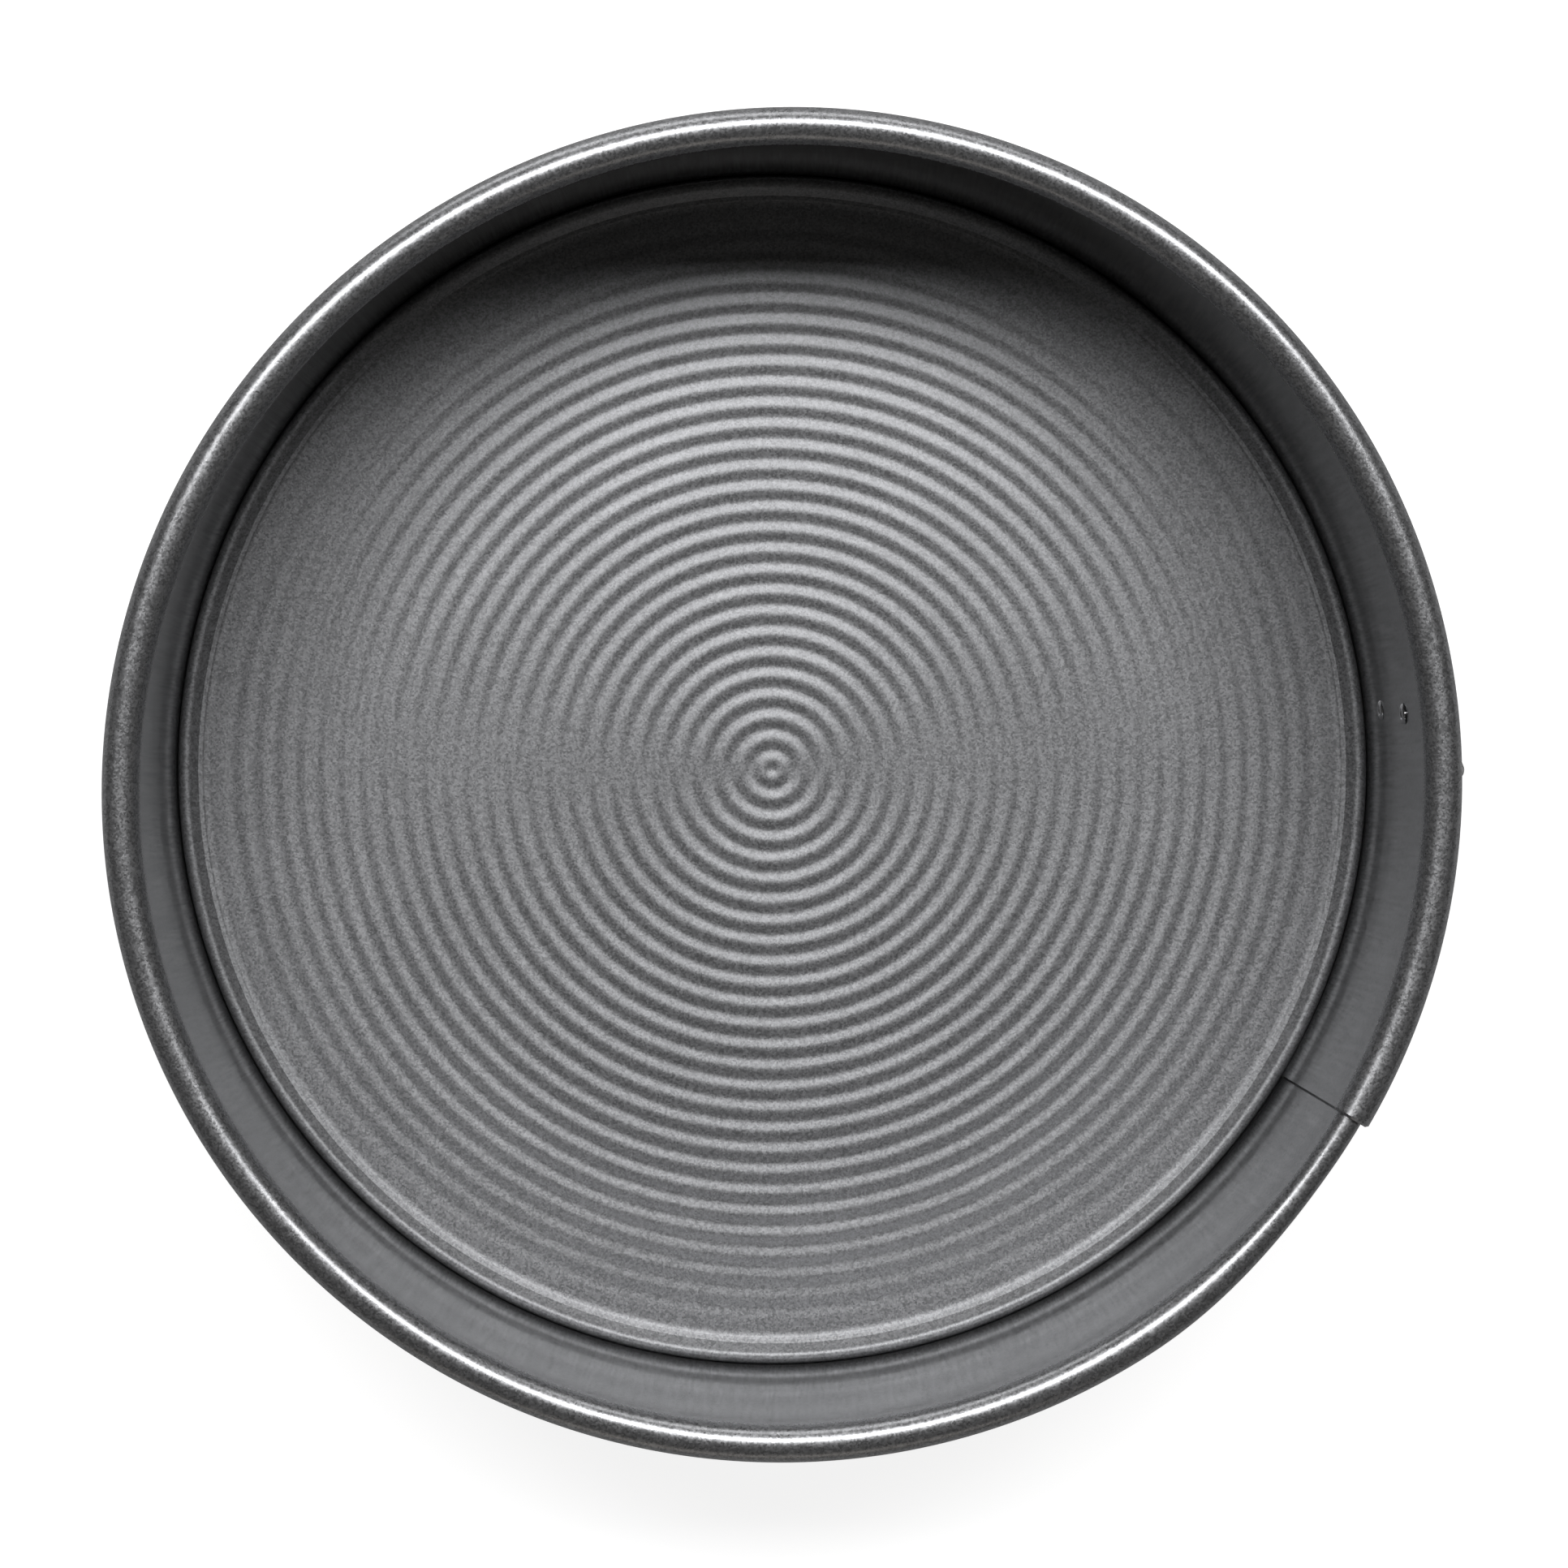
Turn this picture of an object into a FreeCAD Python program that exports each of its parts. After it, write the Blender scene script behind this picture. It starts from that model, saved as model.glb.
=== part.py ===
import FreeCAD, Part
import math
import os
import Sketcher
from FreeCAD import Placement, Rotation, Vector

# Springform cake pan: a sprung sheet-metal band with a rolled rim, a ringed base
# plate that rests on the band's shelf, and an over-centre wire latch.
# Frame: +Z is the pan's axis, z = 0 the surface it stands on, and the latch is on +X.
# Lengths are in millimetres and angles in degrees, counted from +X towards +Y.

DRIVING_SIZES = {
    # band
    "wall_radius": 115.5,  # inner face of the wall
    "sheet": 0.5,
    "overall_height": 68,
    "curl_radius": 3.4,  # outside of the rolled rim
    "curl_sweep": 235,
    "shelf_height": 5.5,  # top of the shelf that carries the base
    "foot_radius": 112.9,  # inner face of the foot below the shelf
    "foot_flange": 2.0,
    "seam_start": 329.5,  # where the latch section's free edge is
    "section_front": 90,  # joint between latch section and back section
    "section_rear": 270,  # joint between back section and keeper section
    "tuck_gap": 0.5,  # between the two layers of the overlap
    "taper_start": 303,
    "taper_end": 325,
    "foot_end": 329.1,
    "tuck_end": 359.4,
    "tuck_bottom": 1.0,
    # base plate
    "base_sheet": 0.5,
    "floor_height": 6.6,
    "ring_pitch": 4.04,
    "ring_count": 26,
    "first_groove": 3.82,
    "groove_depth": 0.3,
    "dimple_depth": 0.2,
    "floor_radius": 110.2,
    "bead_radius": 1.5,
    "bead_centre": 113.4,
    "rest_gap": 0.02,  # between the bead and the shelf
    # latch
    "latch_height": 37,  # middle of the latch above the table
    "pivot_out": 124.4,
    "pivot_along": 1.7,
    "pin_radius": 1.0,
    "pin_head_radius": 1.6,
    "pin_head_height": 0.8,
    "pin_head_gap": 0.2,  # between a head and the lever's cheek
    "running_gap": 0.05,
    "bracket_sheet": 1.0,
    "bracket_start": 1.0,
    "bracket_angle": 9.5,
    "bracket_half_height": 16,
    "ear_outside": 9.0,
    "ear_radius": 2.0,
    "ear_root": 0.3,  # where the ears start, inside the bracket's own thickness
    "rivet_angle": 6.0,
    "rivet_spread": 11.5,
    "rivet_shank": 1.0,
    "rivet_head": 2.0,
    "rivet_dome": 0.9,
    "rivet_inside": 0.3,
    "seat_gap": 0.04,  # the wall's hollow side curves in towards a flat head
    "lever_sheet": 1.0,
    "cheek_inside": 9.4,
    "lever_outer": 124.0,
    "lever_inner": 118.6,
    "web_start": 4.3,
    "lever_tip": 27,
    "knuckle_radius": 2.0,
    "bail_throw": 4.5,  # pivot pin to bail bar
    "bail_lead": 108,  # direction of that arm with the lever shut
    "wire_radius": 1.0,
    "leg_height": 13.1,
    "corner_radius": 2.0,
    "hook_angle": -9,  # where the bail's far bar lies
    "hook_play": 0.5,  # between that bar and the keeper's lip
    "bar_gap": 0.3,  # between that bar and the keeper's plate
    "keeper_sheet": 0.8,
    "lip_height": 1.8,  # above the plate
    "lip_half_height": 10.8,
    "keeper_start": -22,
    "keeper_shoulder": -11.5,
    "keeper_half_height": 14,
    "keeper_rivet_angle": -17,
    "keeper_rivet_spread": 9,
}

doc = FreeCAD.newDocument("springform_pan")
sizes = doc.addObject("Spreadsheet::Sheet", "sizes")
for row, (alias, number) in enumerate(DRIVING_SIZES.items(), start=1):
    sizes.set(f"A{row}", alias)
    sizes.set(f"B{row}", str(number))
    sizes.setAlias(f"B{row}", alias)
doc.recompute()


def size(alias):
    """A driving dimension, read back from the sheet."""
    return float(sizes.get(alias))


gauge = doc.addObject("App::FeaturePython", "gauge")
gauge.addProperty("App::PropertyFloat", "Reading")


def worth(expression):
    """The value of an expression over the sheet's aliases, as the document works it out."""
    gauge.setExpression("Reading", expression)
    gauge.recompute()
    return gauge.Reading


def polar(radius, degrees, height=0.0):
    """A point at this radius and direction about the pan's axis."""
    turn = math.radians(degrees)
    return Vector(radius * math.cos(turn), radius * math.sin(turn), height)


def feature(kind, name, **bound):
    """A Part object bound to the sheet; dots in property names are double underscores."""
    made = doc.addObject(kind, name)
    for prop, expression in bound.items():
        made.setExpression(prop.replace("__", "."), expression)
    return made


# ---------------------------------------------------------------- sketch helpers


def sketch_on(body, role, name):
    sketch = body.newObject("Sketcher::SketchObject", name)
    plane = next(f for f in body.Origin.OriginFeatures if f.Role == role)
    sketch.AttachmentSupport = [(plane, "")]
    sketch.MapMode = "FlatFace"
    return sketch


def draw(sketch, pieces):
    """Add connected lines and arcs, and make the ends that meet coincident."""
    for piece in pieces:
        sketch.addGeometry(piece, False)
    ends = [(g, end) for g in range(len(pieces)) for end in (1, 2)]
    for i, first in enumerate(ends):
        for second in ends[i + 1:]:
            apart = sketch.getPoint(*first).distanceToPoint(sketch.getPoint(*second))
            if first[0] != second[0] and apart < 1e-6:
                sketch.addConstraint(Sketcher.Constraint("Coincident", *first, *second))


def bind_radius(sketch, geometry, expression):
    radius = sketch.Geometry[geometry].Radius
    index = sketch.addConstraint(Sketcher.Constraint("Radius", geometry, radius))
    sketch.setExpression(f"Constraints[{index}]", expression)


def bind_place(sketch, geometry, end, across=None, up=None):
    """Tie a point's distance from the sketch's origin, across and up, to expressions."""
    point = sketch.getPoint(geometry, end)
    for kind, value, expression in (("DistanceX", point.x, across), ("DistanceY", point.y, up)):
        if expression == "0":
            sketch.addConstraint(Sketcher.Constraint("PointOnObject", geometry, end, -1))
        elif expression:
            index = sketch.addConstraint(Sketcher.Constraint(kind, -1, 1, geometry, end, value))
            sketch.setExpression(f"Constraints[{index}]", expression)


def arc_about(centre, radius, first, last):
    """The counter-clockwise arc between two directions about a centre."""
    circle = Part.Circle(centre, Vector(0, 0, 1), radius)
    return Part.ArcOfCircle(circle, math.radians(first), math.radians(last))


def segments(points):
    return [Part.LineSegment(a, b) for a, b in zip(points, points[1:])]


# ---------------------------------------------------------------- band

CURL_END = 180 - size("curl_sweep")
SHELF_UNDER = "sizes.shelf_height - sizes.sheet"
FOOT_OUTSIDE = "sizes.foot_radius + sizes.sheet"
FLANGE_EDGE = "sizes.foot_radius + sizes.foot_flange"


def band_corners(inside, footed):
    """The corners from the wall's outer face, round its bottom, to its inner face.

    Each is two expressions: the radius, and the height above the table.
    """
    outside = f"{inside} + sizes.sheet"
    if not footed:
        return [(outside, "sizes.tuck_bottom"), (inside, "sizes.tuck_bottom")]
    return [
        (outside, SHELF_UNDER),
        (FOOT_OUTSIDE, SHELF_UNDER),
        (FOOT_OUTSIDE, "sizes.sheet"),
        (FLANGE_EDGE, "sizes.sheet"),
        (FLANGE_EDGE, "0"),
        ("sizes.foot_radius", "0"),
        ("sizes.foot_radius", "sizes.shelf_height"),
        (inside, "sizes.shelf_height"),
    ]


def band_outline(step_out=0.0, footed=True):
    """The band's section, radius across and height up: rolled rim, wall, shelf and foot.

    step_out moves the wall outwards and shrinks the roll by as much, so that the
    roll's centre stays where it is.
    """
    sheet = size("sheet")
    roll = size("curl_radius") - step_out
    centre = Vector(
        size("wall_radius") + size("curl_radius"), size("overall_height") - size("curl_radius"), 0
    )
    outer_roll = arc_about(centre, roll, CURL_END, 180)
    inner_roll = arc_about(centre, roll - sheet, CURL_END, 180)
    corners = [
        Vector(worth(across), worth(up), 0)
        for across, up in band_corners(f"sizes.wall_radius + {step_out}", footed)
    ]
    lip = segments([inner_roll.StartPoint, outer_roll.StartPoint])
    return [outer_roll, inner_roll] + lip + segments([
        inner_roll.EndPoint, *corners, outer_roll.EndPoint
    ])


def band_body(name, start, end):
    """A length of band with the full section: a sketch revolved about the pan's axis."""
    body = doc.addObject("PartDesign::Body", name)
    sketch = sketch_on(body, "XZ_Plane", f"{name}_section")
    draw(sketch, band_outline())
    outer_roll, inner_roll, first_side = 0, 1, 3
    bind_radius(sketch, outer_roll, "sizes.curl_radius")
    bind_radius(sketch, inner_roll, "sizes.curl_radius - sizes.sheet")
    for roll in (outer_roll, inner_roll):
        bind_place(
            sketch, roll, 3, "sizes.wall_radius + sizes.curl_radius",
            "sizes.overall_height - sizes.curl_radius",
        )
    for step, (across, up) in enumerate(band_corners("sizes.wall_radius", True)):
        bind_place(sketch, first_side + step, 2, across, up)
    turned = body.newObject("PartDesign::Revolution", f"{name}_turned")
    turned.Profile = sketch
    turned.ReferenceAxis = (sketch, ["V_Axis"])
    turned.setExpression("Angle", f"({end}) - ({start})")
    body.setExpression("Placement.Rotation.Angle", start)
    body.Tip = turned
    return body


def standing_face(outline, degrees):
    """A section outline as a face in the upright plane at this direction."""
    wire = Part.Wire(Part.__sortEdges__([piece.toShape() for piece in outline]))
    stand = Placement(Vector(), Rotation(Vector(1, 0, 0), 90))
    turn = Placement(Vector(), Rotation(Vector(0, 0, 1), degrees))
    wire.Placement = turn.multiply(stand)
    return Part.Face(wire)


def swept(outline, start, end):
    face = standing_face(outline, start)
    return face.revolve(Vector(), Vector(0, 0, 1), end - start)


def keeper_section_shape():
    """The band's other end: full section, then a taper to the smaller section that tucks
    inside the latch section's rim and behind its wall."""
    step_out = size("sheet") + size("tuck_gap")
    plain = swept(band_outline(), size("section_rear"), size("taper_start"))
    slices = 8
    span = size("taper_end") - size("taper_start")
    rings = []
    for k in range(slices + 1):
        share = k / slices
        eased = share * share * (3 - 2 * share)
        face = standing_face(band_outline(step_out * eased), size("taper_start") + span * share)
        rings.append(face.OuterWire)
    taper = Part.makeLoft(rings, True, True)
    stepped = swept(band_outline(step_out), size("taper_end"), size("foot_end"))
    tucked = swept(band_outline(step_out, footed=False), size("foot_end"), size("tuck_end"))
    return plain.fuse([taper, stepped, tucked])


def rivet_hole(name, angle, height):
    """A bar through the wall, pointing at the pan's axis, for cutting a rivet's hole."""
    hole = feature("Part::Cylinder", name, Radius="sizes.rivet_shank", Height="4 * sizes.curl_radius")
    start = polar(size("wall_radius") - size("curl_radius"), size(angle))
    hole.Placement = Placement(start, Rotation(Vector(0, 0, 1), polar(1, size(angle))))
    hole.setExpression("Placement.Base.z", height)
    return hole


# ---------------------------------------------------------------- base plate


# The stepped rise from the flat border to the bead: outwards from the border's edge, and up
# from the face it belongs to.
RISE_TOP = ((0, 0), (0.6, 0.15), (0.95, 0.75), (1.45, 0.9))
RISE_UNDER = ((0.1, 0), (1.0, 0.2), (1.4, 0.8), (1.8, 0.95))
BEAD_FROM, BEAD_TO = -90, 150  # directions about the bead's own centre


def base_plate_shape():
    """The base: concentric pressed rings, a flat border, a stepped rise and a rolled bead."""
    sheet = size("base_sheet")
    floor = size("floor_height")
    pitch = size("ring_pitch")
    top = [Vector(0, floor - size("dimple_depth"), 0)]
    for n in range(int(size("ring_count"))):
        groove = size("first_groove") + n * pitch
        top.append(Vector(groove - pitch / 2, floor, 0))
        top.append(Vector(groove, floor - size("groove_depth"), 0))
    top.append(Vector(top[-1].x + pitch / 4, floor, 0))
    under = [point - Vector(0, sheet, 0) for point in top]
    edge = size("floor_radius")
    roll = size("bead_radius")
    centre = Vector(size("bead_centre"), size("shelf_height") + roll + size("rest_gap"), 0)
    bead = arc_about(centre, roll, BEAD_FROM, BEAD_TO)
    bead_inside = arc_about(centre, roll - sheet, BEAD_FROM, BEAD_TO)
    top += [Vector(edge + out, floor + up, 0) for out, up in RISE_TOP] + [bead.EndPoint]
    under += [Vector(edge + out, floor - sheet + up, 0) for out, up in RISE_UNDER]
    under.append(bead_inside.EndPoint)
    outline = segments(top) + [bead]
    outline += segments([bead.StartPoint, bead_inside.StartPoint]) + [bead_inside]
    outline += segments(under)
    outline += segments([top[0], under[0]])
    face = standing_face(outline, 0)
    return face.revolve(Vector(), Vector(0, 0, 1), 360)


def feature_from(name, shape, at=None):
    """A Part::Feature for a shape that neither a sketch nor a primitive makes."""
    made = doc.addObject("Part::Feature", name)
    made.Shape = shape
    made.Placement = at or Placement()
    return made


# ---------------------------------------------------------------- turned fasteners


def turned_body(name, grip, inner_dome, head_radius, shank_radius, outer_dome):
    """A rivet or riveted pin: a shank between two low domed heads, along its own +Z.

    Each size is an expression. Without an inner dome, the shank ends flush.
    """
    body = doc.addObject("PartDesign::Body", name)
    sketch = sketch_on(body, "XZ_Plane", f"{name}_outline")
    shank, head, length = worth(shank_radius), worth(head_radius), worth(grip)

    def dome(rise, up):
        """A low arc from the axis to the head's rim, and its sphere's radius."""
        sphere = (head**2 + rise**2) / (2 * rise)
        half = math.degrees(math.asin(head / sphere))
        if up:
            return arc_about(Vector(0, length + rise - sphere, 0), sphere, 90 - half, 90)
        return arc_about(Vector(0, sphere - rise, 0), sphere, -90, -90 + half)

    top_dome = dome(worth(outer_dome), True)
    pieces = [top_dome]
    pieces += segments([top_dome.StartPoint, Vector(shank, length, 0), Vector(shank, 0, 0)])
    if inner_dome:
        low_dome = dome(worth(inner_dome), False)
        pieces += segments([Vector(shank, 0, 0), low_dome.EndPoint]) + [low_dome]
        foot = low_dome.StartPoint
    else:
        pieces += segments([Vector(shank, 0, 0), Vector(0, 0, 0)])
        foot = Vector(0, 0, 0)
    pieces += segments([foot, top_dome.EndPoint])
    draw(sketch, pieces)
    bind_place(sketch, 0, 1, head_radius, grip)
    bind_place(sketch, 0, 2, None, f"{grip} + {outer_dome}")
    bind_place(sketch, 1, 2, shank_radius, grip)
    bind_place(sketch, 2, 2, shank_radius, None)
    turned = body.newObject("PartDesign::Revolution", f"{name}_turned")
    turned.Profile = sketch
    turned.ReferenceAxis = (sketch, ["V_Axis"])
    turned.Angle = 360
    body.Tip = turned
    return body


def stand_radially(body, radius, angle, height):
    """Point a turned body outwards from the pan's axis, with its foot at this radius."""
    foot = polar(radius, angle, height)
    body.Placement = Placement(foot, Rotation(Vector(0, 0, 1), polar(1, angle)))


# ---------------------------------------------------------------- latch places

LATCH_Z = size("latch_height")
PIVOT = Vector(size("pivot_out"), size("pivot_along"), 0)
THROW = polar(size("bail_throw"), size("bail_lead"))
BAIL_BAR = PIVOT + THROW
WALL_OUTSIDE = size("wall_radius") + size("sheet")
TUCK_INSIDE = WALL_OUTSIDE + size("tuck_gap")
TUCK_OUTSIDE = TUCK_INSIDE + size("sheet")
KEEPER_OUTSIDE = TUCK_OUTSIDE + size("keeper_sheet")
HOOKED_BAR = polar(KEEPER_OUTSIDE + size("bar_gap") + size("wire_radius"), size("hook_angle"))

RIVET_HEIGHTS = (
    "sizes.latch_height + sizes.rivet_spread",
    "sizes.latch_height - sizes.rivet_spread",
)
KEEPER_RIVET_HEIGHTS = (
    "sizes.latch_height + sizes.keeper_rivet_spread",
    "sizes.latch_height - sizes.keeper_rivet_spread",
)


def sector(name, radius, start, angle, low, height):
    """An upright cylinder sector about the pan's axis; every size is an expression."""
    return feature(
        "Part::Cylinder", name,
        Radius=radius, Angle=angle, Height=height,
        Placement__Rotation__Angle=start, Placement__Base__z=low,
    )


def upright(name, centre, radius, low, height):
    """An upright cylinder at a latch place."""
    made = feature("Part::Cylinder", name, Radius=radius, Height=height)
    made.Placement = Placement(centre, Rotation())
    made.setExpression("Placement.Base.z", low)
    return made


def boolean(kind, name, base, tools):
    """Base cut, or joined, with one or more tools."""
    if kind == "fuse":
        made = doc.addObject("Part::MultiFuse", name)
        made.Shapes = [base] + tools
        return made
    tool = tools[0]
    if len(tools) > 1:
        tool = doc.addObject("Part::MultiFuse", f"{name}_tools")
        tool.Shapes = tools
    made = doc.addObject("Part::Cut", name)
    made.Base = base
    made.Tool = tool
    return made


def bracket():
    """The lever's bracket: a curved plate on the wall with two ears for the pivot pin."""
    low = "sizes.latch_height - sizes.bracket_half_height"
    tall = "2 * sizes.bracket_half_height"
    skin = "sizes.wall_radius + sizes.sheet"
    plate = boolean("cut", "bracket_plate", sector(
        "bracket_plate_outer", f"{skin} + sizes.bracket_sheet",
        "sizes.bracket_start", "sizes.bracket_angle", low, tall,
    ), [sector(
        "bracket_plate_inner", skin,
        "sizes.bracket_start", "sizes.bracket_angle", low, tall,
    )])
    pieces = []
    for side, ear_low in (
        ("upper", "sizes.latch_height + sizes.ear_outside - sizes.bracket_sheet"),
        ("lower", "sizes.latch_height - sizes.ear_outside"),
    ):
        arm = feature(
            "Part::Box", f"{side}_ear_arm",
            Length="sizes.pivot_out - sizes.wall_radius - sizes.sheet - sizes.ear_root",
            Width="2 * sizes.ear_radius", Height="sizes.bracket_sheet",
            Placement__Base__x="sizes.wall_radius + sizes.sheet + sizes.ear_root",
            Placement__Base__y="sizes.pivot_along - sizes.ear_radius",
            Placement__Base__z=ear_low,
        )
        end = upright(f"{side}_ear_end", PIVOT, "sizes.ear_radius", ear_low, "sizes.bracket_sheet")
        pieces += [arm, end]
    blank = boolean("fuse", "bracket_blank", plate, pieces)
    bore = upright("bracket_bore", PIVOT, "sizes.pin_radius", low, tall)
    holes = [
        rivet_hole(f"bracket_hole_{n}", "rivet_angle", height)
        for n, height in enumerate(RIVET_HEIGHTS)
    ]
    return boolean("cut", "lever_bracket", blank, [bore] + holes)


def keeper_plate():
    """The keeper: a curved plate on the tucked end, with an upright lip that the bail hooks over."""
    skin = "sizes.wall_radius + 2 * sizes.sheet + sizes.tuck_gap"
    lip_start = "sizes.wire_radius + sizes.hook_play"
    plate_end = math.degrees(math.atan(
        worth(f"{lip_start} + sizes.keeper_sheet") / TUCK_OUTSIDE
    ))
    sheets = []
    for name, start, end, half in (
        ("wide", "sizes.keeper_start", "sizes.keeper_shoulder", "sizes.keeper_half_height"),
        ("narrow", "sizes.keeper_shoulder", f"sizes.hook_angle + {plate_end}", "sizes.lip_half_height"),
    ):
        low, tall = f"sizes.latch_height - {half}", f"2 * {half}"
        turn = f"{end} - ({start})"
        sheets.append(boolean(
            "cut", f"keeper_{name}",
            sector(f"keeper_{name}_outer", f"{skin} + sizes.keeper_sheet", start, turn, low, tall),
            [sector(f"keeper_{name}_inner", skin, start, turn, low, tall)],
        ))
    lip = feature(
        "Part::Box", "keeper_lip", Length="sizes.keeper_sheet + sizes.lip_height",
        Width="sizes.keeper_sheet", Height="2 * sizes.lip_half_height",
    )
    facing = Rotation(Vector(0, 0, 1), size("hook_angle"))
    corner = Vector(TUCK_OUTSIDE, worth(lip_start), worth("sizes.latch_height - sizes.lip_half_height"))
    lip.Placement = Placement(facing.multVec(corner), facing)
    blank = boolean("fuse", "keeper_blank", sheets[0], [sheets[1], lip])
    return boolean("cut", "keeper_plate", blank, [
        rivet_hole(f"keeper_hole_{n}", "keeper_rivet_angle", height)
        for n, height in enumerate(KEEPER_RIVET_HEIGHTS)
    ])


CUT_ROOM = 8  # how far a cutting outline runs past the piece it cuts
NOSE_FROM, NOSE_TO = -120, 15  # the knuckle's round, as directions about the pivot


def lever():
    """The lever: a pressed channel that follows the wall, with its cheeks over the ears."""
    body = doc.addObject("PartDesign::Body", "lever")
    half = "(sizes.cheek_inside + sizes.lever_sheet)"
    tip, start = size("lever_tip"), size("web_start")
    outer, inner, knuckle = size("lever_outer"), size("lever_inner"), size("knuckle_radius")
    centre = Vector()
    back = arc_about(centre, outer, start, tip)
    belly = arc_about(centre, inner, start, tip)
    nose = arc_about(PIVOT, knuckle, NOSE_FROM, NOSE_TO)
    side = sketch_on(body, "XY_Plane", "lever_side")
    draw(side, [
        back, belly, nose,
        Part.LineSegment(back.StartPoint, nose.EndPoint),
        Part.LineSegment(nose.StartPoint, belly.StartPoint),
        Part.LineSegment(belly.EndPoint, back.EndPoint),
    ])
    bind_radius(side, 0, "sizes.lever_outer")
    bind_radius(side, 1, "sizes.lever_inner")
    bind_radius(side, 2, "sizes.knuckle_radius")
    for arc in (0, 1):
        side.addConstraint(Sketcher.Constraint("Coincident", arc, 3, -1, 1))
    bind_place(side, 2, 3, "sizes.pivot_out", "sizes.pivot_along")
    block = body.newObject("PartDesign::Pad", "lever_block")
    block.Profile = side
    block.Midplane = True
    block.setExpression("Length", f"2 * {half}")
    doc.recompute()

    past_tip = tip + math.degrees(size("lever_sheet") / outer) * CUT_ROOM
    under_web = arc_about(centre, outer - size("lever_sheet"), start, past_tip)
    far, near = under_web.EndPoint, under_web.StartPoint
    right, left = outer + CUT_ROOM, far.x - CUT_ROOM
    hollow = sketch_on(body, "XY_Plane", "lever_hollow")
    draw(hollow, [under_web] + segments([
        near, Vector(right, near.y, 0), Vector(right, -CUT_ROOM, 0), Vector(left, -CUT_ROOM, 0),
        Vector(left, far.y, 0), far,
    ]))
    bind_radius(hollow, 0, "sizes.lever_outer - sizes.lever_sheet")
    hollow.addConstraint(Sketcher.Constraint("Coincident", 0, 3, -1, 1))
    channel = body.newObject("PartDesign::Pocket", "lever_channel")
    channel.Profile = hollow
    channel.Midplane = True
    channel.setExpression("Length", "2 * sizes.cheek_inside")
    doc.recompute()

    holes = sketch_on(body, "XY_Plane", "lever_holes")
    for place, radius in ((PIVOT, "pin_radius"), (BAIL_BAR, "wire_radius")):
        ring = holes.addGeometry(
            Part.Circle(place, Vector(0, 0, 1), size(radius) + size("running_gap")), False
        )
        bind_radius(holes, ring, f"sizes.{radius} + sizes.running_gap")
    bind_place(holes, 0, 3, "sizes.pivot_out", "sizes.pivot_along")
    bores = body.newObject("PartDesign::Pocket", "lever_bores")
    bores.Profile = holes
    bores.Midplane = True
    bores.setExpression("Length", f"2 * {half} + {CUT_ROOM}")
    body.Tip = bores
    body.setExpression("Placement.Base.z", "sizes.latch_height")
    return body


def bail():
    """The wire bail: a closed rectangular loop with rounded corners, from straight bars and quarter rings.

    Its own +X runs from the lever's bar to the keeper's bar.
    """
    reach = (HOOKED_BAR - BAIL_BAR).Length
    bend, tall = "sizes.corner_radius", "sizes.leg_height"
    parts = []
    for name, across in (("near", 0.0), ("far", reach)):
        bar = feature(
            "Part::Cylinder", f"bail_{name}_bar", Radius="sizes.wire_radius",
            Height=f"2 * ({tall} - {bend})", Placement__Base__z=f"-({tall} - {bend})",
        )
        bar.Placement.Base.x = across
        parts.append(bar)
    for name, sign in (("upper", 1), ("lower", -1)):
        leg = feature("Part::Cylinder", f"bail_{name}_leg", Radius="sizes.wire_radius")
        leg.Height = reach - 2 * size("corner_radius")
        leg.Placement = Placement(
            Vector(size("corner_radius"), 0, sign * size("leg_height")),
            Rotation(Vector(0, 1, 0), 90),
        )
        parts.append(leg)
    # a quarter ring is made about +Z from +X towards +Y, and stood up about +X
    bend_radius = size("corner_radius")
    for name, across, up, turn in (
        ("far_upper", reach - bend_radius, 1, 0),
        ("near_upper", bend_radius, 1, 90),
        ("near_lower", bend_radius, -1, 180),
        ("far_lower", reach - bend_radius, -1, 270),
    ):
        corner = feature(
            "Part::Torus", f"bail_{name}", Radius1=bend, Radius2="sizes.wire_radius"
        )
        corner.Angle3 = 90
        stand = Rotation(Vector(1, 0, 0), 90).multiply(Rotation(Vector(0, 0, 1), turn))
        place = Vector(across, 0, up * (size("leg_height") - bend_radius))
        corner.Placement = Placement(place, stand)
        parts.append(corner)
    loop = boolean("fuse", "bail", parts[0], parts[1:])
    along = HOOKED_BAR - BAIL_BAR
    heading = math.degrees(math.atan2(along.y, along.x))
    loop.Placement = Placement(BAIL_BAR + Vector(0, 0, LATCH_Z), Rotation(Vector(0, 0, 1), heading))
    return loop


# ---------------------------------------------------------------- the pieces

nodes = {}

strip = band_body("latch_strip", "sizes.seam_start - 360", "sizes.section_front")
nodes["band_latch_section"] = boolean("cut", "band_latch_section", strip, [
    rivet_hole(f"band_hole_{n}", "rivet_angle", height)
    for n, height in enumerate(RIVET_HEIGHTS)
])
nodes["band_back_section"] = band_body(
    "band_back_section", "sizes.section_front", "sizes.section_rear"
)
keeper_strip = feature_from("keeper_strip", keeper_section_shape())
nodes["band_keeper_section"] = boolean("cut", "band_keeper_section", keeper_strip, [
    rivet_hole(f"tuck_hole_{n}", "keeper_rivet_angle", height)
    for n, height in enumerate(KEEPER_RIVET_HEIGHTS)
])
nodes["base_plate"] = feature_from("base_plate", base_plate_shape())
nodes["lever_bracket"] = bracket()
nodes["keeper_plate"] = keeper_plate()
nodes["lever"] = lever()
nodes["bail"] = bail()

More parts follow.
